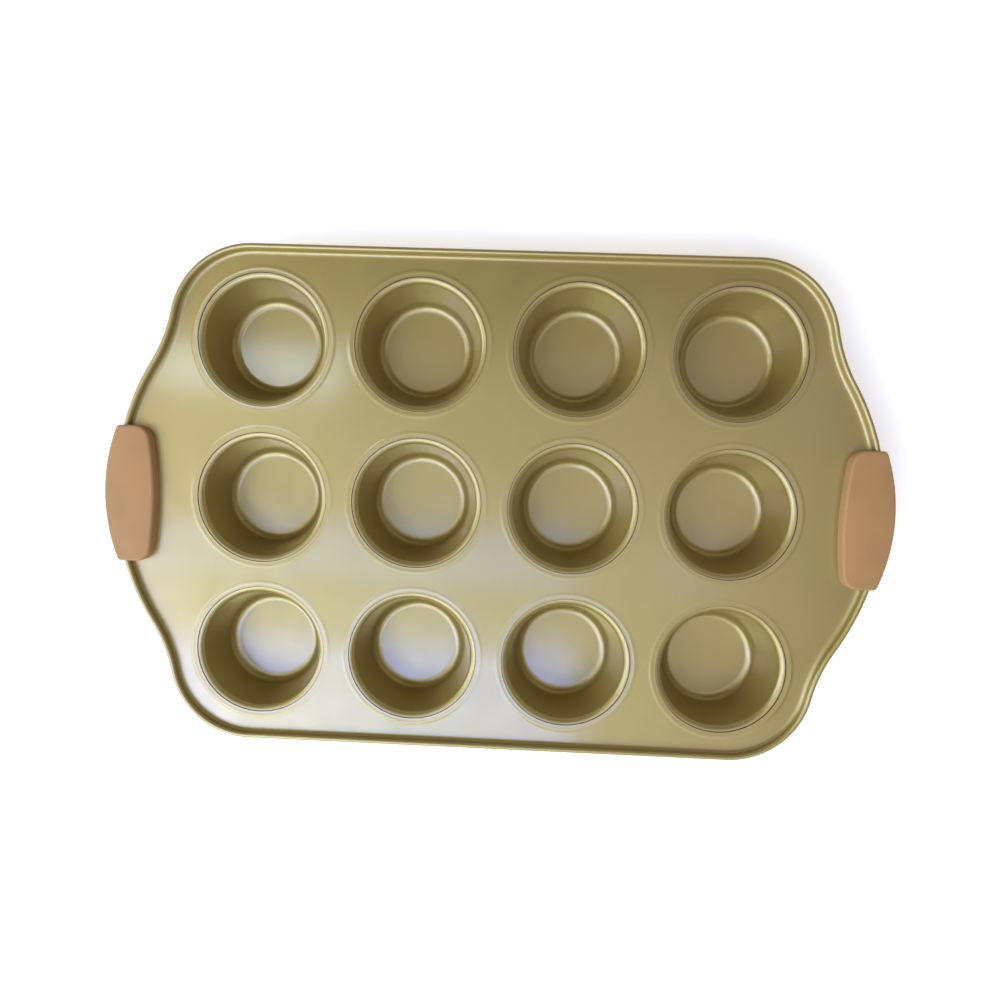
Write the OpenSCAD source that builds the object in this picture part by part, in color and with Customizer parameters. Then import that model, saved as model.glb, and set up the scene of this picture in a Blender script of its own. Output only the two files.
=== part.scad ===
// Twelve-cup muffin tin: a pressed steel deck with a wired rim, twelve drawn
// cups seamed under it, and a silicone grip sleeved over each end handle.
// Frame: X along the tin, Y across it, Z up; the cups stand on z = 0.

/* [Deck] */
// Width of the tin over the rim
pan_w = 268; // [266:1:272]
// Thickness of the steel sheet of the deck and the cups
sheet = 0.6; // [0.5:0.1:0.7]
// Distance from the middle to the end of the rim, at the handles
handle_reach = 206.5; // [205:0.5:209]
// Distance across the tin from its middle to the centre of a neck's hollow arc
neck_y = 114.24; // [113.24:0.5:115.24]
// Distance along the tin from a handle arc's centre to a neck arc's centre
handle_to_neck = 183.6; // [182.6:0.5:184.6]
// Distance along the tin from a corner arc's centre to a neck arc's centre
corner_to_neck = 123.75; // [122.75:0.5:124.75]
// Distance across the tin from a corner arc's centre to a neck arc's centre
corner_drop = 25; // [24:0.5:26]

/* [Rim] */
// Height of the rim over the deck
rim_h = 4.7; // [4.5:0.1:6]
// Diameter of the rolled bead round the rim
bead_d = 3.0; // [2.8:0.1:3.2]
// Diameter of the steel wire inside the bead
wire_d = 1.7; // [1.2:0.1:1.7]
// Radius at the foot of the rim wall
wall_fillet_r = 2.0; // [1.5:0.1:2.5]

/* [Cups] */
// Rows of cups, across the tin
rows = 3; // [3]
// Columns of cups, along the tin
cols = 4; // [4]
// Distance between the centres of two cups
cup_pitch = 84.6; // [84:0.1:85.5]
// Diameter of a cup where its mouth meets its flange
mouth_d = 70; // [68:0.2:70.4]
// Radius through which the wall turns outwards at the mouth
mouth_r = 2.4; // [1.8:0.2:3]
// Depth of a cup below the deck
cup_depth = 29.4; // [26.4:0.5:33.4]
// How far the cup wall leans out over 24 of height
cup_lean = 7; // [5.5:0.5:7.5]
// Radius between the cup wall and its floor
floor_fillet_r = 4.0; // [3:0.5:5]

/* [Seam] */
// Gap between a cup's mouth and the edge of its hole in the deck
seam_gap = 0.4; // [0.2:0.1:0.6]
// Width of the cup's flange under the deck
flange_w = 2; // [1:0.1:2]
// Radius of the stiffening ring pressed round each hole
ring_r = 37.9; // [37.6:0.1:39]
// Half the width of the stiffening ring
ring_half_w = 0.9; // [0.9:0.1:1.4]
// Height of the stiffening ring
ring_h = 0.12; // [0.1:0.02:0.3]

/* [Grips] */
// Length of a grip along the rim
grip_len = 73.6; // [60:0.2:78]
// Distance from the middle of the tin to the outer edge of a grip
grip_reach = 210.7; // [210.2:0.1:212]
// Width of a grip, from its inner edge to its outer edge
grip_w = 27; // [24:0.5:29]
// Radius of the outer edge, seen from above
grip_outer_r = 100; // [90:5:130]
// Radius of the inner edge, seen from above
grip_inner_r = 200; // [150:10:300]
// Radius of the two corners on the outer edge
grip_outer_corner = 2.6; // [2:0.1:4]
// Radius of the two corners on the inner edge
grip_inner_corner = 8; // [5:0.5:10]
// Thickness of the silicone above the rim
grip_top = 1.8; // [1.5:0.1:2.5]
// Thickness of the silicone under the deck
grip_bottom = 2.0; // [1.5:0.1:2.5]
// Radius of the grip's edges
grip_edge_r = 1.5; // [1:0.1:1.6]
// Clearance between the sleeve and the rim
grip_clear = 0.3; // [0.3:0.05:0.4]

/* [Hidden] */
$fn = 96;

steel_gold = [0.67, 0.62, 0.43];
wire_grey = [0.60, 0.60, 0.58];
silicone_peach = [0.78, 0.58, 0.46];

// Heights
deck_top = sheet + cup_depth;
deck_under = deck_top - sheet;
rim_top = deck_top + rim_h;

// Rim: everything is measured inwards from the outline
bead_r = bead_d / 2;
bead_z = rim_top - bead_r;
wall_lap = 0.02;
wall_in = bead_d - wall_lap;
flat_in = wall_in + wall_fillet_r;

// Outline: the centres of the handle, neck and corner arcs, and their radii.
// Each pair of arcs meets on the line between its centres.
corner_c = [
    handle_reach + handle_to_neck - corner_to_neck
        - norm([handle_to_neck, neck_y]) + norm([corner_to_neck, corner_drop])
        - (pan_w / 2 - neck_y + corner_drop),
    neck_y - corner_drop
];
neck_c = corner_c + [corner_to_neck, corner_drop];
handle_c = neck_c - [handle_to_neck, neck_y];
corner_r = pan_w / 2 - corner_c.y;
neck_r = norm(neck_c - corner_c) - corner_r;
handle_r = norm(neck_c - handle_c) - neck_r;
beyond = 2 * handle_reach;

// Cup profile: the direction square to the wall, and the centres of the bend
// at the mouth and of the floor fillet
across = [24, -cup_lean] / norm([24, cup_lean]);
mouth_c = [mouth_d / 2, deck_under - mouth_r];
floor_c = [
    mouth_c.x - (floor_fillet_r + mouth_r
        - (mouth_c.y - sheet - floor_fillet_r) * across.y) / across.x,
    sheet + floor_fillet_r
];
hole_r = mouth_d / 2 + seam_gap;

// Stiffening ring: the arc that gives its width and height
ring_arc_r = (ring_half_w * ring_half_w + ring_h * ring_h) / (2 * ring_h);
ring_arc_z = deck_top + ring_h - ring_arc_r;

// Grip: heights of the sleeve and of its slot
slot_low = deck_under - grip_clear;
slot_high = rim_top + grip_clear;
grip_low = slot_low - grip_bottom;
grip_high = slot_high + grip_top;

// One quarter of the tin's outline, moved inwards by an inset
module outline_quarter(inset) {
    edge = pan_w / 2 - inset;
    difference() {
        polygon([[0, 0], handle_c, neck_c, corner_c, [corner_c.x, edge], [0, edge]]);
        translate(neck_c)
            circle(neck_r + inset);
    }
    intersection() {
        translate(handle_c)
            circle(handle_r - inset);
        polygon([handle_c, neck_c, [beyond, 0]]);
    }
    intersection() {
        translate(corner_c)
            circle(corner_r - inset);
        polygon([corner_c, neck_c, [beyond, beyond], [corner_c.x, beyond]]);
    }
}

module outline(inset) {
    for (sx = [0, 1], sy = [0, 1])
        mirror([sx, 0])
            mirror([0, sy])
                outline_quarter(inset);
}

// Turns a profile (distance from the centre, height) round a centre and keeps
// the stretch that stands over a wedge
module turned(centre, wedge) {
    intersection() {
        translate(centre)
            rotate_extrude()
                children();
        linear_extrude(2 * rim_top)
            polygon(wedge);
    }
}

// Runs a profile (inset, height) round one quarter of the outline
module rim_quarter() {
    turned(handle_c, [handle_c, neck_c, [beyond, 0]])
        translate([handle_r, 0])
            mirror([1, 0])
                children();
    turned(neck_c, [handle_c, neck_c, corner_c])
        translate([neck_r, 0])
            children();
    turned(corner_c, [corner_c, neck_c, [beyond, beyond], [corner_c.x, beyond]])
        translate([corner_r, 0])
            mirror([1, 0])
                children();
    translate([0, pan_w / 2, 0])
        rotate([90, 0, 90])
            linear_extrude(corner_c.x)
                mirror([1, 0])
                    children();
}

// Runs a profile (inset, height) all the way round the outline
module rim_run() {
    for (sx = [0, 1], sy = [0, 1])
        mirror([sx, 0, 0])
            mirror([0, sy, 0])
                rim_quarter()
                    children();
}

// Section of the rim: foot fillet, wall and the bead curled round the wire
module rim_section() {
    translate([flat_in, deck_top + wall_fillet_r])
        intersection() {
            difference() {
                circle(wall_fillet_r + sheet);
                circle(wall_fillet_r);
            }
            translate([-2 * wall_fillet_r, -2 * wall_fillet_r])
                square(2 * wall_fillet_r);
        }
    translate([wall_in - sheet, deck_top + wall_fillet_r])
        square([sheet, bead_z - deck_top - wall_fillet_r - sheet / 3]);
    translate([bead_r, bead_z])
        difference() {
            circle(bead_r);
            circle(bead_r - sheet);
        }
}

module at_cup(row, col) {
    translate([
        (col - (cols + 1) / 2) * cup_pitch,
        ((rows + 1) / 2 - row) * cup_pitch,
        0
    ])
        children();
}

module at_cups() {
    for (row = [1:rows], col = [1:cols])
        at_cup(row, col)
            children();
}

// Segment of the stiffening ring's arc that stands above a level
module ring_segment(r, level) {
    intersection() {
        translate([ring_r, ring_arc_z])
            circle(r);
        translate([ring_r - ring_arc_r, level])
            square(2 * ring_arc_r);
    }
}

module deck() {
    color(steel_gold)
        difference() {
            union() {
                translate([0, 0, deck_under])
                    linear_extrude(sheet)
                        outline(flat_in);
                rim_run()
                    rim_section();
                at_cups()
                    rotate_extrude()
                        ring_segment(ring_arc_r, deck_top);
            }
            at_cups()
                rotate_extrude()
                    ring_segment(ring_arc_r - sheet, deck_under);
            at_cups()
                translate([0, 0, deck_under - 1])
                    cylinder(r = hole_r, h = sheet + 2);
        }
}

module rim_wire() {
    color(wire_grey)
        rim_run()
            translate([bead_r, bead_z])
                circle(wire_d / 2);
}

// Sheet bent round a centre, from one direction to another
module bend(centre, r_in, from, to) {
    far = 3 * (r_in + sheet);
    translate(centre)
        intersection() {
            difference() {
                circle(r_in + sheet);
                circle(r_in);
            }
            polygon([[0, 0], far * from, far * (from + to), far * to]);
        }
}

// Half section of a cup, from its floor up to the flange under the deck
module cup_section() {
    flange_out = hole_r + flange_w;
    flange_low = deck_under - sheet;
    square([floor_c.x, sheet]);
    bend(floor_c, floor_fillet_r, [0, -1], across);
    // tapered wall
    polygon([
        floor_c + floor_fillet_r * across,
        floor_c + (floor_fillet_r + sheet) * across,
        mouth_c - (mouth_r - sheet) * across,
        mouth_c - mouth_r * across
    ]);
    bend(mouth_c, mouth_r - sheet, -across, [0, 1]);
    // flange under the edge of the deck
    polygon([
        [mouth_c.x, flange_low],
        [flange_out, flange_low],
        [flange_out, deck_under],
        [mouth_c.x, deck_under]
    ]);
}

module cup(row, col) {
    color(steel_gold)
        at_cup(row, col)
            rotate_extrude()
                cup_section();
}

// Outline of a grip seen from above: a middle piece and its four corner discs
module grip_plan(inset) {
    outer_c = grip_reach - grip_outer_r;
    inner_c = grip_reach - grip_w + grip_inner_r;
    outer_y = grip_len / 2 - grip_outer_corner;
    inner_y = grip_len / 2 - grip_inner_corner;
    outer_d = grip_outer_r - grip_outer_corner;
    inner_d = grip_inner_r - grip_inner_corner;
    intersection() {
        translate([outer_c, 0])
            circle(grip_outer_r - inset, $fn = 240);
        translate([inner_c, 0])
            circle(grip_inner_r - inset, $fn = 360);
        translate([grip_reach - grip_w, -inner_y])
            square([grip_w, 2 * inner_y]);
    }
    for (sy = [-1, 1]) {
        translate([outer_c + sqrt(outer_d * outer_d - outer_y * outer_y), sy * outer_y])
            circle(grip_outer_corner - inset, $fn = 32);
        translate([inner_c - sqrt(inner_d * inner_d - inner_y * inner_y), sy * inner_y])
            circle(grip_inner_corner - inset, $fn = 48);
    }
}

// Sleeve with rounded edges, hollowed by a slot as tall as the rim
module grip() {
    difference() {
        hull()
            for (a = [0:30:90]) {
                rise = grip_edge_r * (1 - sin(a));
                inset = grip_edge_r * (1 - cos(a));
                translate([0, 0, grip_low + rise])
                    linear_extrude(grip_high - grip_low - 2 * rise)
                        grip_plan(inset);
            }
        translate([0, 0, slot_low])
            intersection() {
                translate([handle_c.x, 0, 0])
                    cylinder(r = handle_r + grip_clear, h = slot_high - slot_low, $fn = 360);
                translate([grip_reach - 2 * grip_w, -grip_len, 0])
                    cube([2 * grip_w, 2 * grip_len, slot_high - slot_low]);
            }
    }
}

module grip_left() {
    color(silicone_peach)
        mirror([1, 0, 0])
            grip();
}

module grip_right() {
    color(silicone_peach)
        grip();
}

deck();
rim_wire();
cup(1, 1);  // cup_1_1
cup(1, 2);  // cup_1_2
cup(1, 3);  // cup_1_3
cup(1, 4);  // cup_1_4
cup(2, 1);  // cup_2_1
cup(2, 2);  // cup_2_2
cup(2, 3);  // cup_2_3
cup(2, 4);  // cup_2_4
cup(3, 1);  // cup_3_1
cup(3, 2);  // cup_3_2
cup(3, 3);  // cup_3_3
cup(3, 4);  // cup_3_4
grip_left();
grip_right();
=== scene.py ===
from math import asin, atan2, cos, hypot, pi, radians, sin, sqrt

import bpy
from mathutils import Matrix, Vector


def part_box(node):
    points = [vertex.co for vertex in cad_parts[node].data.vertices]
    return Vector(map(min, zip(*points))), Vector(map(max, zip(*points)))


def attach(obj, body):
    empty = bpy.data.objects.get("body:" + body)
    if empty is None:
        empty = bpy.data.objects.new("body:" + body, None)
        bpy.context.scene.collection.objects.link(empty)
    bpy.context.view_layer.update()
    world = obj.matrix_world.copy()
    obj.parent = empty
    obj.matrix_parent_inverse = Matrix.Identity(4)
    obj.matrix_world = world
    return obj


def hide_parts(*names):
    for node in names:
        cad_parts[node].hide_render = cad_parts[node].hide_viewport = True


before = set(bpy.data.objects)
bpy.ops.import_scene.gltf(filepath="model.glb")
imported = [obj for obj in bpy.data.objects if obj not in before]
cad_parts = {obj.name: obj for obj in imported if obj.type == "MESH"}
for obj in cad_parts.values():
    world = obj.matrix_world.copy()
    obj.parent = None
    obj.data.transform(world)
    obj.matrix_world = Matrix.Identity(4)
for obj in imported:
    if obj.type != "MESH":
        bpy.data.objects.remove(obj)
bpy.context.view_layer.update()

# ---------------------------------------------------------------- the deck
# One pressed steel sheet with a gold non-stick coat: a flat top with twelve
# holes, a stiffening ring round each hole, and a rim wall whose edge is
# curled outwards round a wire.
sheet = 0.0006
deck_low, deck_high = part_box("deck")
deck_under = deck_low.z
deck_top = deck_under + sheet
deck_mid = deck_under + sheet / 2
rim_top = deck_high.z
bead_r = 0.0015
bead_z = rim_top - bead_r
wall_fillet_r = 0.002
flat_strip = 0.001
weld = 0.000005

handle_reach = 0.2065
neck_c = (0.25535, 0.11424)
handle_c = (0.07175, 0.0)
corner_c = (0.1316, 0.08924)
handle_turn = atan2(neck_c[1] - handle_c[1], neck_c[0] - handle_c[0])
corner_turn = atan2(neck_c[1] - corner_c[1], neck_c[0] - corner_c[0])

hole_r = 0.0354
ring_in = 0.0370
ring_out = 0.0388
ring_slope = 0.00035
ring_h = 0.00005


def start_section(name, x, z):
    """A new mesh that is one point of a section in the XZ plane."""
    if bpy.context.object and bpy.context.object.mode != "OBJECT":
        bpy.ops.object.mode_set(mode="OBJECT")
    bpy.ops.object.select_all(action="DESELECT")
    bpy.ops.mesh.primitive_plane_add(size=0.001, location=(0, 0, 0))
    piece = bpy.context.object
    piece.name = name
    piece.data.name = name
    bpy.ops.object.mode_set(mode="EDIT")
    bpy.ops.mesh.select_mode(type="VERT")
    bpy.ops.mesh.select_all(action="SELECT")
    bpy.ops.mesh.merge(type="CENTER")
    bpy.ops.transform.translate(value=(x, 0, z))
    return piece


def straight(dx, dz):
    """Draws the section on from its last point."""
    bpy.ops.mesh.extrude_region_move(TRANSFORM_OT_translate={"value": (dx, 0, dz)})


def arc(x, z, turn, steps):
    """Draws the section on round a centre; turn is counter-clockwise with X right and Z up."""
    bpy.ops.mesh.spin(steps=steps, angle=turn, center=(x, 0, z), axis=(0, 1, 0))


def revolve(steps):
    """Turns the whole section round the Z axis."""
    bpy.ops.mesh.select_all(action="SELECT")
    bpy.ops.mesh.spin(steps=steps, angle=2 * pi, center=(0, 0, 0), axis=(0, 0, 1))
    bpy.ops.mesh.select_all(action="SELECT")
    bpy.ops.mesh.remove_doubles(threshold=weld)


def apply_modifiers(piece):
    bpy.ops.object.mode_set(mode="OBJECT")
    for modifier in list(piece.modifiers):
        bpy.ops.object.modifier_apply(modifier=modifier.name)


def thicken(piece):
    """Gives a surface the thickness of the sheet, half to each side."""
    bpy.ops.object.mode_set(mode="EDIT")
    bpy.ops.mesh.select_all(action="SELECT")
    bpy.ops.mesh.normals_make_consistent(inside=False)
    bpy.ops.object.modifier_add(type="SOLIDIFY")
    wall = piece.modifiers[-1]
    wall.thickness = sheet
    wall.offset = 0
    wall.use_even_offset = True
    apply_modifiers(piece)
    bpy.ops.object.mode_set(mode="EDIT")
    bpy.ops.mesh.select_all(action="SELECT")
    bpy.ops.mesh.normals_make_consistent(inside=False)
    bpy.ops.object.mode_set(mode="OBJECT")
    bpy.ops.object.shade_smooth_by_angle(angle=radians(35))


def copy_to(piece, name, x, y):
    """A copy with its own mesh, moved by x and y with its place in the mesh."""
    bpy.ops.object.select_all(action="DESELECT")
    piece.select_set(True)
    bpy.context.view_layer.objects.active = piece
    bpy.ops.object.duplicate()
    twin = bpy.context.object
    twin.name = name
    twin.data.name = name
    bpy.ops.transform.translate(value=(x, y, 0))
    bpy.ops.object.transform_apply(location=True, rotation=True, scale=True)
    return twin


cup_names = [f"cup_{row}_{col}" for row in (1, 2, 3) for col in (1, 2, 3, 4)]
cup_places = {}
for cup_name in cup_names:
    cup_low, cup_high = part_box(cup_name)
    cup_places[cup_name] = ((cup_low.x + cup_high.x) / 2, (cup_low.y + cup_high.y) / 2)

# the rim, a quarter of the way round, with a narrow strip of the flat inside it
wall_foot = handle_reach - 2 * bead_r - wall_fillet_r
deck = start_section("pressed_deck", wall_foot - flat_strip, deck_mid)
straight(flat_strip, 0)
arc(wall_foot, deck_top + wall_fillet_r, pi / 2, 8)
straight(0, bead_z - deck_top - wall_fillet_r)
arc(handle_reach - bead_r, bead_z, -radians(320), 32)
bpy.ops.mesh.select_all(action="SELECT")
bpy.ops.mesh.spin(steps=40, angle=handle_turn, center=(*handle_c, 0), axis=(0, 0, -1))
bpy.ops.mesh.spin(steps=16, angle=corner_turn - handle_turn, center=(*neck_c, 0), axis=(0, 0, -1))
bpy.ops.mesh.spin(steps=40, angle=pi / 2 - corner_turn, center=(*corner_c, 0), axis=(0, 0, -1))
bpy.ops.mesh.extrude_region_move(TRANSFORM_OT_translate={"value": (-corner_c[0], 0, 0)})
bpy.ops.object.mode_set(mode="OBJECT")
bpy.ops.object.modifier_add(type="MIRROR")
mirror = deck.modifiers[-1]
mirror.use_axis[0] = True
mirror.use_axis[1] = True
mirror.merge_threshold = weld
apply_modifiers(deck)

# the stiffening rings
ring = start_section("ring", hole_r, deck_mid)
straight(ring_in - hole_r, 0)
straight(ring_slope, ring_h)
straight(ring_out - ring_in - 2 * ring_slope, 0)
straight(ring_slope, -ring_h)
straight(flat_strip, 0)
revolve(96)
bpy.ops.object.mode_set(mode="OBJECT")
rings = [copy_to(ring, "ring_" + name, *cup_places[name]) for name in cup_names]
bpy.data.objects.remove(ring)
bpy.ops.object.select_all(action="DESELECT")
for piece in [deck, *rings]:
    piece.select_set(True)
bpy.context.view_layer.objects.active = deck
bpy.ops.object.join()

# the flat, filled between the rim and the rings
def select_flat_edges(piece, holes):
    """Selects the open edges that the flat is filled between."""
    uses = {}
    for face in piece.data.polygons:
        for key in face.edge_keys:
            uses[key] = uses.get(key, 0) + 1
    for edge in piece.data.edges:
        a, b = (piece.data.vertices[i].co for i in edge.vertices)
        level = abs(a.z - deck_mid) + abs(b.z - deck_mid) < 0.00001
        middle = (a + b) / 2
        near = min(hypot(middle.x - x, middle.y - y) for x, y in holes)
        edge.select = uses.get(edge.key, 0) == 1 and level and near > hole_r + 0.001


bpy.ops.object.mode_set(mode="EDIT")
bpy.ops.mesh.select_mode(type="EDGE")
bpy.ops.mesh.select_all(action="DESELECT")
bpy.ops.object.mode_set(mode="OBJECT")
select_flat_edges(deck, list(cup_places.values()))
bpy.ops.object.mode_set(mode="EDIT")
bpy.ops.mesh.fill(use_beauty=True)
thicken(deck)


def coated_steel(name):
    """Gold non-stick coat on steel: satin, with an orange peel and a fine sparkle."""
    coat = bpy.data.materials.new(name)
    coat.use_nodes = True
    nodes = coat.node_tree.nodes
    links = coat.node_tree.links
    shader = nodes["Principled BSDF"]
    shader.inputs["Metallic"].default_value = 0.7
    shader.inputs["Coat Weight"].default_value = 1.0
    shader.inputs["Coat Roughness"].default_value = 0.13
    shader.inputs["Coat IOR"].default_value = 1.5
    place = nodes.new("ShaderNodeTexCoord")

    tone = nodes.new("ShaderNodeTexNoise")
    tone.inputs["Scale"].default_value = 14
    tone.inputs["Detail"].default_value = 4
    links.new(place.outputs["Object"], tone.inputs["Vector"])
    colour = nodes.new("ShaderNodeValToRGB")
    colour.color_ramp.elements[0].position = 0.3
    colour.color_ramp.elements[0].color = (0.37, 0.28, 0.08, 1)
    colour.color_ramp.elements[1].position = 0.7
    colour.color_ramp.elements[1].color = (0.40, 0.305, 0.09, 1)
    links.new(tone.outputs["Fac"], colour.inputs["Fac"])
    links.new(colour.outputs["Color"], shader.inputs["Base Color"])

    wear = nodes.new("ShaderNodeTexNoise")
    wear.inputs["Scale"].default_value = 60
    wear.inputs["Detail"].default_value = 6
    links.new(place.outputs["Object"], wear.inputs["Vector"])
    rough = nodes.new("ShaderNodeMapRange")
    rough.inputs["From Min"].default_value = 0.3
    rough.inputs["From Max"].default_value = 0.7
    rough.inputs["To Min"].default_value = 0.42
    rough.inputs["To Max"].default_value = 0.5
    links.new(wear.outputs["Fac"], rough.inputs["Value"])
    links.new(rough.outputs["Result"], shader.inputs["Roughness"])

    peel = nodes.new("ShaderNodeTexNoise")
    peel.inputs["Scale"].default_value = 700
    peel.inputs["Detail"].default_value = 3
    links.new(place.outputs["Object"], peel.inputs["Vector"])
    grain = nodes.new("ShaderNodeBump")
    grain.inputs["Strength"].default_value = 0.2
    grain.inputs["Distance"].default_value = 0.0002
    links.new(peel.outputs["Fac"], grain.inputs["Height"])
    sway = nodes.new("ShaderNodeTexNoise")
    sway.inputs["Scale"].default_value = 9
    sway.inputs["Detail"].default_value = 1
    links.new(place.outputs["Object"], sway.inputs["Vector"])
    buckle = nodes.new("ShaderNodeBump")
    buckle.inputs["Strength"].default_value = 0.15
    buckle.inputs["Distance"].default_value = 0.002
    links.new(sway.outputs["Fac"], buckle.inputs["Height"])
    links.new(grain.outputs["Normal"], buckle.inputs["Normal"])
    links.new(buckle.outputs["Normal"], shader.inputs["Normal"])
    return coat


def painted_crevice_shade(name):
    """Painted shade: a mottled dark brown that stands in for the shadow in the crevice where a cup meets
    its hole.
    """
    seam_shade = bpy.data.materials.new(name)
    seam_shade.use_nodes = True
    nodes = seam_shade.node_tree.nodes
    links = seam_shade.node_tree.links
    shader = nodes["Principled BSDF"]
    shader.inputs["Roughness"].default_value = 0.6
    place = nodes.new("ShaderNodeTexCoord")
    shade_mottle = nodes.new("ShaderNodeTexNoise")
    shade_mottle.inputs["Scale"].default_value = 300
    links.new(place.outputs["Object"], shade_mottle.inputs["Vector"])
    shade = nodes.new("ShaderNodeValToRGB")
    shade.color_ramp.elements[0].position = 0.35
    shade.color_ramp.elements[0].color = (0.03, 0.024, 0.012, 1)
    shade.color_ramp.elements[1].position = 0.65
    shade.color_ramp.elements[1].color = (0.09, 0.068, 0.036, 1)
    links.new(shade_mottle.outputs["Fac"], shade.inputs["Fac"])
    links.new(shade.outputs["Color"], shader.inputs["Base Color"])
    return seam_shade


deck_coat = coated_steel("deck_coat")
deck.data.materials.append(deck_coat)
deck.data.materials.append(painted_crevice_shade("hole_edge_shade"))
# painted shade: the cut edge round each hole gets the dark crevice colour
for face in deck.data.polygons:
    near = min(hypot(face.center.x - x, face.center.y - y) for x, y in cup_places.values())
    if abs(face.normal.z) < 0.5 and near < hole_r + 0.0002:
        face.material_index = 1
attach(deck, "tin")
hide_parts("deck")

# ---------------------------------------------------------------- the rim wire
# A drawn steel wire that the rim is curled round. It stiffens the edge and
# only shows through the thin gap under the curl.
wire_steel = bpy.data.materials.new("drawn_wire")
wire_steel.use_nodes = True
nodes = wire_steel.node_tree.nodes
links = wire_steel.node_tree.links
shader = nodes["Principled BSDF"]
shader.inputs["Base Color"].default_value = (0.42, 0.42, 0.41, 1)
shader.inputs["Metallic"].default_value = 1.0
place = nodes.new("ShaderNodeTexCoord")
scratch = nodes.new("ShaderNodeTexNoise")
scratch.inputs["Scale"].default_value = 900
links.new(place.outputs["Object"], scratch.inputs["Vector"])
drawn = nodes.new("ShaderNodeMapRange")
drawn.inputs["To Min"].default_value = 0.3
drawn.inputs["To Max"].default_value = 0.5
links.new(scratch.outputs["Fac"], drawn.inputs["Value"])
links.new(drawn.outputs["Result"], shader.inputs["Roughness"])
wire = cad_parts["rim_wire"]
wire.data.materials.clear()
wire.data.materials.append(wire_steel)

# ---------------------------------------------------------------- the cups
# Twelve drawn cups of the same coated steel. Each has a flat floor, a tapered
# wall and a rounded mouth. Its flange is seamed under the edge of its hole in
# the deck, and the seam is painted dark as painted shade for the crevice.
floor_r = 0.0218
floor_fillet_r = 0.005
mouth_r = 0.0032
floor_c = (floor_r, sheet + floor_fillet_r)
mouth_c = (0.0351, deck_under - mouth_r)
flange_r = 0.0374
floor_strip = 0.0004
floor_bend = floor_fillet_r + sheet / 2
mouth_bend = mouth_r - sheet / 2
rise = mouth_c[1] - floor_c[1]
reach = mouth_c[0] - floor_c[0]
wall_turn = atan2(rise, reach) + asin((floor_bend + mouth_bend) / hypot(rise, reach))
floor_end = (floor_r + floor_bend * sin(wall_turn), sheet / 2 + floor_bend * (1 - cos(wall_turn)))
wall_end = (mouth_c[0] - mouth_bend * sin(wall_turn), mouth_c[1] + mouth_bend * cos(wall_turn))

cup = start_section("cup", 0, sheet / 2)
straight(floor_r - floor_strip, 0)
straight(floor_strip, 0)
arc(*floor_c, wall_turn, 16)
straight(wall_end[0] - floor_end[0], wall_end[1] - floor_end[1])
arc(*mouth_c, -wall_turn, 14)
straight(hole_r - mouth_c[0], 0)
straight(flange_r - hole_r, 0)
revolve(96)
thicken(cup)

cup_coat = coated_steel("cup_coat")
cup.data.materials.append(cup_coat)
cup.data.materials.append(painted_crevice_shade("seam_shade"))
# painted shade: the flange's top in the crevice under the hole's edge gets the dark crevice colour
for face in cup.data.polygons:
    out = hypot(face.center.x, face.center.y)
    if face.normal.z > 0.9 and mouth_c[0] < out < hole_r:
        face.material_index = 1
for cup_name in cup_names:
    drawn_cup = copy_to(cup, "drawn_" + cup_name, *cup_places[cup_name])
    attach(drawn_cup, "tin")
    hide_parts(cup_name)
bpy.data.objects.remove(cup)

# ---------------------------------------------------------------- the grips
# A moulded silicone sleeve over the rim at each end, barrel-shaped from above
# with soft edges. Its pocket holds the rim, and its lips close on the deck.
grip_low, grip_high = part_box("grip_right")
grip_reach = grip_high.x
grip_w = grip_high.x - grip_low.x
grip_half = (grip_high.y - grip_low.y) / 2
outer_r = 0.100
inner_r = 0.200
outer_corner = 0.0026
inner_corner = 0.008

outer_cx = grip_reach - outer_r
inner_cx = grip_reach - grip_w + inner_r
outer_x = outer_cx + sqrt((outer_r - outer_corner) ** 2 - (grip_half - outer_corner) ** 2)
inner_x = inner_cx - sqrt((inner_r - inner_corner) ** 2 - (grip_half - inner_corner) ** 2)
outer_turn = atan2(grip_half - outer_corner, outer_x - outer_cx)
inner_turn = atan2(grip_half - inner_corner, inner_cx - inner_x)


def run_round(x, y, turn, steps):
    """Draws an outline on round a centre; turn is counter-clockwise from above."""
    bpy.ops.mesh.spin(steps=steps, angle=turn, center=(x, y, 0), axis=(0, 0, -1))


grip = start_section("grip", grip_reach, grip_low.z)
run_round(outer_cx, 0, outer_turn, 16)
run_round(outer_x, grip_half - outer_corner, pi / 2 - outer_turn, 8)
straight(inner_x - outer_x, 0)
run_round(inner_x, grip_half - inner_corner, pi / 2 - inner_turn, 12)
run_round(inner_cx, 0, inner_turn, 16)
bpy.ops.object.mode_set(mode="OBJECT")
bpy.ops.object.modifier_add(type="MIRROR")
mirror = grip.modifiers[-1]
mirror.use_axis[0] = False
mirror.use_axis[1] = True
mirror.merge_threshold = weld
apply_modifiers(grip)
bpy.ops.object.mode_set(mode="EDIT")
bpy.ops.mesh.select_all(action="SELECT")
bpy.ops.mesh.edge_face_add()
bpy.ops.mesh.extrude_region_move(
    TRANSFORM_OT_translate={"value": (0, 0, grip_high.z - grip_low.z)}
)
bpy.ops.mesh.select_all(action="SELECT")
bpy.ops.mesh.normals_make_consistent(inside=False)
bpy.ops.object.mode_set(mode="OBJECT")
bpy.ops.object.modifier_add(type="BEVEL")
soft = grip.modifiers[-1]
soft.width = 0.0016
soft.segments = 5
soft.limit_method = "ANGLE"
soft.angle_limit = radians(50)
apply_modifiers(grip)

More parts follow.
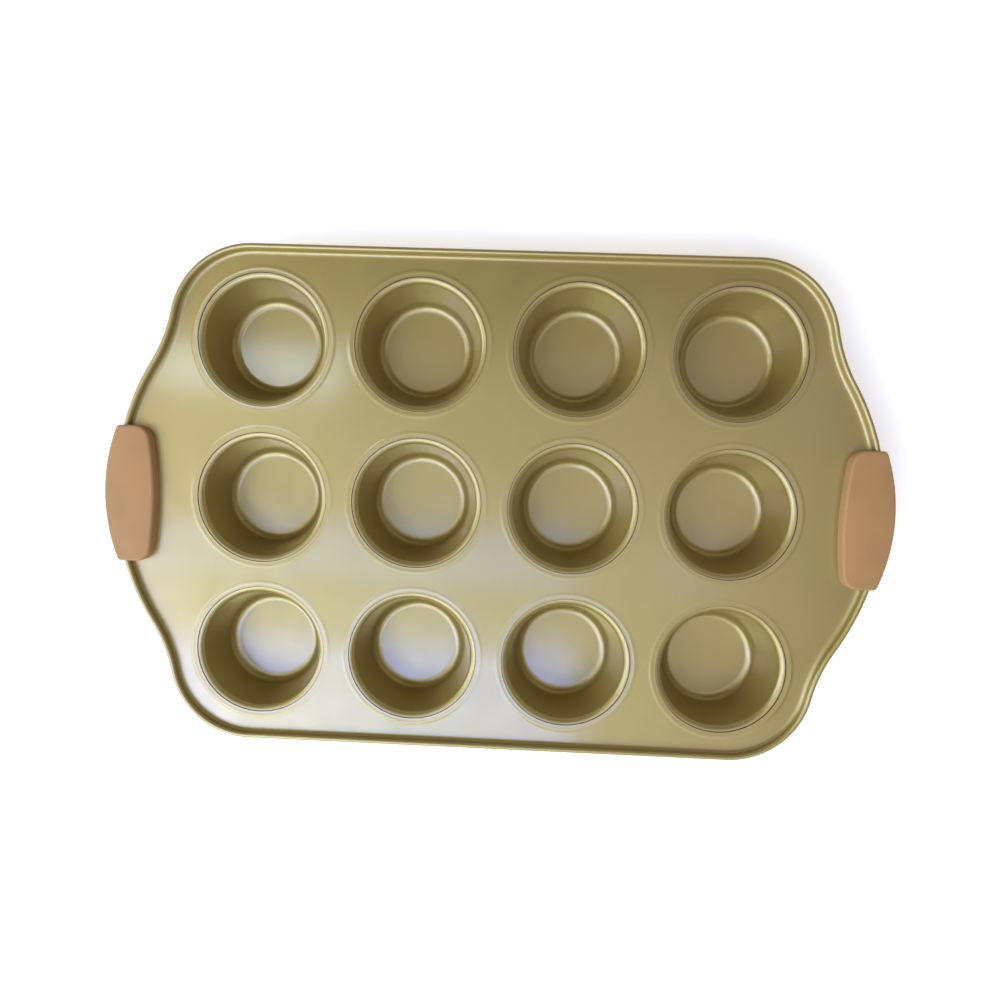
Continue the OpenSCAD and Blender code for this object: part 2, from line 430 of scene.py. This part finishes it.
# the pocket, cut by a section of the rim with a little room round it
room = 0.00012
pocket_depth = 0.04
pocket_turn = radians(40)
pocket = start_section("pocket", handle_reach - pocket_depth, deck_under - room)
straight(pocket_depth + room, 0)
straight(0, rim_top - deck_under + 2 * room)
straight(-2 * bead_r - 3 * room, 0)
straight(0, deck_top - rim_top)
straight(2 * bead_r + 2 * room - pocket_depth, 0)
bpy.ops.mesh.select_all(action="SELECT")
bpy.ops.mesh.edge_face_add()
bpy.ops.transform.rotate(
    value=pocket_turn / 2, orient_axis="Z", center_override=(*handle_c, 0)
)
bpy.ops.mesh.spin(steps=40, angle=pocket_turn, center=(*handle_c, 0), axis=(0, 0, -1))
bpy.ops.mesh.select_all(action="SELECT")
bpy.ops.mesh.normals_make_consistent(inside=False)
bpy.ops.object.mode_set(mode="OBJECT")
bpy.ops.object.select_all(action="DESELECT")
grip.select_set(True)
bpy.context.view_layer.objects.active = grip
bpy.ops.object.modifier_add(type="BOOLEAN")
cut = grip.modifiers[-1]
cut.operation = "DIFFERENCE"
cut.solver = "EXACT"
cut.object = pocket
apply_modifiers(grip)
bpy.data.objects.remove(pocket)
bpy.ops.object.shade_smooth_by_angle(angle=radians(40))

silicone = bpy.data.materials.new("silicone")
silicone.use_nodes = True
nodes = silicone.node_tree.nodes
links = silicone.node_tree.links
shader = nodes["Principled BSDF"]
shader.inputs["Specular IOR Level"].default_value = 0.35
shader.inputs["Sheen Weight"].default_value = 0.1
place = nodes.new("ShaderNodeTexCoord")
smudge = nodes.new("ShaderNodeTexNoise")
smudge.inputs["Scale"].default_value = 45
smudge.inputs["Detail"].default_value = 5
links.new(place.outputs["Object"], smudge.inputs["Vector"])
tint = nodes.new("ShaderNodeValToRGB")
tint.color_ramp.elements[0].position = 0.25
tint.color_ramp.elements[0].color = (0.385, 0.2, 0.067, 1)
tint.color_ramp.elements[1].position = 0.6
tint.color_ramp.elements[1].color = (0.44, 0.232, 0.078, 1)
links.new(smudge.outputs["Fac"], tint.inputs["Fac"])
links.new(tint.outputs["Color"], shader.inputs["Base Color"])
dust = nodes.new("ShaderNodeMapRange")
dust.inputs["To Min"].default_value = 0.55
dust.inputs["To Max"].default_value = 0.75
links.new(smudge.outputs["Fac"], dust.inputs["Value"])
links.new(dust.outputs["Result"], shader.inputs["Roughness"])
mould = nodes.new("ShaderNodeTexNoise")
mould.inputs["Scale"].default_value = 1800
links.new(place.outputs["Object"], mould.inputs["Vector"])
matt = nodes.new("ShaderNodeBump")
matt.inputs["Strength"].default_value = 0.15
matt.inputs["Distance"].default_value = 0.0001
links.new(mould.outputs["Fac"], matt.inputs["Height"])
links.new(matt.outputs["Normal"], shader.inputs["Normal"])
grip.data.materials.append(silicone)

right_grip = copy_to(grip, "sleeve_right", 0, 0)
left_grip = copy_to(grip, "sleeve_left", 0, 0)
bpy.data.objects.remove(grip)
bpy.ops.transform.resize(value=(-1, 1, 1), center_override=(0, 0, 0))
bpy.ops.object.transform_apply(location=True, rotation=True, scale=True)
bpy.ops.object.mode_set(mode="EDIT")
bpy.ops.mesh.select_all(action="SELECT")
bpy.ops.mesh.normals_make_consistent(inside=False)
bpy.ops.object.mode_set(mode="OBJECT")
for sleeve, side in ((left_grip, "left"), (right_grip, "right")):
    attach(sleeve, side + "_grip")
    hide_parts("grip_" + side)

# ---------------------------------------------------------------- the studio
# A plain pale floor that glows faintly, like a sheet of lit white acrylic, under
# soft window light from the near left, weaker fill from the other sides and a
# pale wall all round that fades to a dark ceiling.
bpy.ops.object.select_all(action="DESELECT")
bpy.ops.mesh.primitive_plane_add(size=6, location=(0, 0, -0.0002))
floor = bpy.context.object
floor.name = "floor"
pale = bpy.data.materials.new("pale_floor")
pale.use_nodes = True
pale.node_tree.nodes["Principled BSDF"].inputs["Base Color"].default_value = (0.96, 0.94, 0.88, 1)
pale.node_tree.nodes["Principled BSDF"].inputs["Roughness"].default_value = 0.9
pale.node_tree.nodes["Principled BSDF"].inputs["Emission Color"].default_value = (1.0, 0.97, 0.9, 1)
pale.node_tree.nodes["Principled BSDF"].inputs["Emission Strength"].default_value = 0.4
floor.data.materials.append(pale)


def soft_light(name, place, aim, width, height, power, colour):
    """A soft rectangular light that faces a point."""
    lamp = bpy.data.lights.new(name, "AREA")
    lamp.shape = "RECTANGLE"
    lamp.size = width
    lamp.size_y = height
    lamp.energy = power
    lamp.color = colour
    light = bpy.data.objects.new(name, lamp)
    bpy.context.scene.collection.objects.link(light)
    light.location = place
    light.rotation_euler = (Vector(aim) - Vector(place)).to_track_quat("-Z", "Y").to_euler()
    return light


soft_light("window", (-0.291, -0.526, 1.23), (-0.291, -0.526, 0), 0.93, 0.25, 7.6, (0.28, 0.4, 1.0))
soft_light("window_top", (-0.291, -0.197, 1.23), (-0.291, -0.197, 0), 0.93, 0.115, 1.95, (0.3, 0.46, 1.0))
soft_light("side_window", (-0.562, 0.195, 1.23), (-0.562, 0.195, 0), 0.425, 0.104, 1.27, (0.69, 0.85, 1.0))
soft_light("gap", (0.42, -0.197, 1.23), (0.42, -0.197, 0), 0.14, 0.1, 0.11, (0.4, 0.5, 1.0))
soft_light("ceiling", (-0.05, -0.20, 1.23), (-0.05, -0.20, 0), 1.5, 0.91, 3.0, (1.0, 0.87, 0.75))
soft_light("near_right", (0.45, -0.55, 1.23), (0.45, -0.55, 0), 0.55, 0.25, 1.5, (0.55, 0.53, 1.0))
soft_light("left", (-1.11, -0.46, 1.20), (0, 0, 0), 0.85, 0.85, 13, (0.55, 0.6, 1.0))
soft_light("near_left", (-0.46, -1.11, 1.20), (0, 0, 0), 0.85, 0.85, 10, (0.84, 1.0, 0.9))
soft_light("near", (0.45, -1.11, 1.20), (0, 0, 0), 0.85, 0.85, 3.2, (1.0, 0.98, 0.95))
soft_light("low_left", (-1.6, 0, 0.58), (0, 0, 0), 0.85, 0.85, 10, (0.6, 0.88, 1.0))
soft_light("far_left", (-1.11, 0.47, 1.20), (0, 0, 0), 0.85, 0.85, 2.6, (1.0, 0.7, 0.3))
soft_light("right", (0.64, 0, 1.58), (0, 0, 0), 0.85, 0.85, 0.9, (1.0, 1.0, 1.0))
soft_light("far_right", (0.9, 0.8, 1.2), (0, 0, 0), 1.2, 1.2, 1.1, (1.0, 0.9, 0.75))
soft_light("low_near", (-1.13, -1.13, 0.5), (0, 0, 0), 1.2, 0.6, 3.5, (1.0, 0.9, 0.75))
world = bpy.data.worlds.new("studio")
bpy.context.scene.world = world
world.use_nodes = True
nodes = world.node_tree.nodes
links = world.node_tree.links
towards = nodes.new("ShaderNodeTexCoord")
split = nodes.new("ShaderNodeSeparateXYZ")
links.new(towards.outputs["Generated"], split.inputs["Vector"])
backdrop = nodes.new("ShaderNodeValToRGB")
backdrop.color_ramp.elements[0].position = 0.2
backdrop.color_ramp.elements[0].color = (0.8, 0.8, 0.8, 1)
backdrop.color_ramp.elements[1].position = 0.45
backdrop.color_ramp.elements[1].color = (0.015, 0.015, 0.015, 1)
links.new(split.outputs["Z"], backdrop.inputs["Fac"])
links.new(backdrop.outputs["Color"], nodes["Background"].inputs["Color"])

camera_data = bpy.data.cameras.new("camera")
camera = bpy.data.objects.new("camera", camera_data)
bpy.context.scene.collection.objects.link(camera)
camera.location = (0.0056, 0.0281, deck_top + 0.4016)
camera.rotation_mode = "ZYX"
camera.rotation_euler = (radians(-5.219), radians(1.685), radians(2.209))
camera_data.sensor_width = 36
camera_data.lens = 26.81
camera_data.shift_x = 0.0181
camera_data.shift_y = 0.0217
camera_data.clip_start = 0.01
bpy.context.scene.camera = camera
bpy.context.scene.view_settings.view_transform = "Standard"
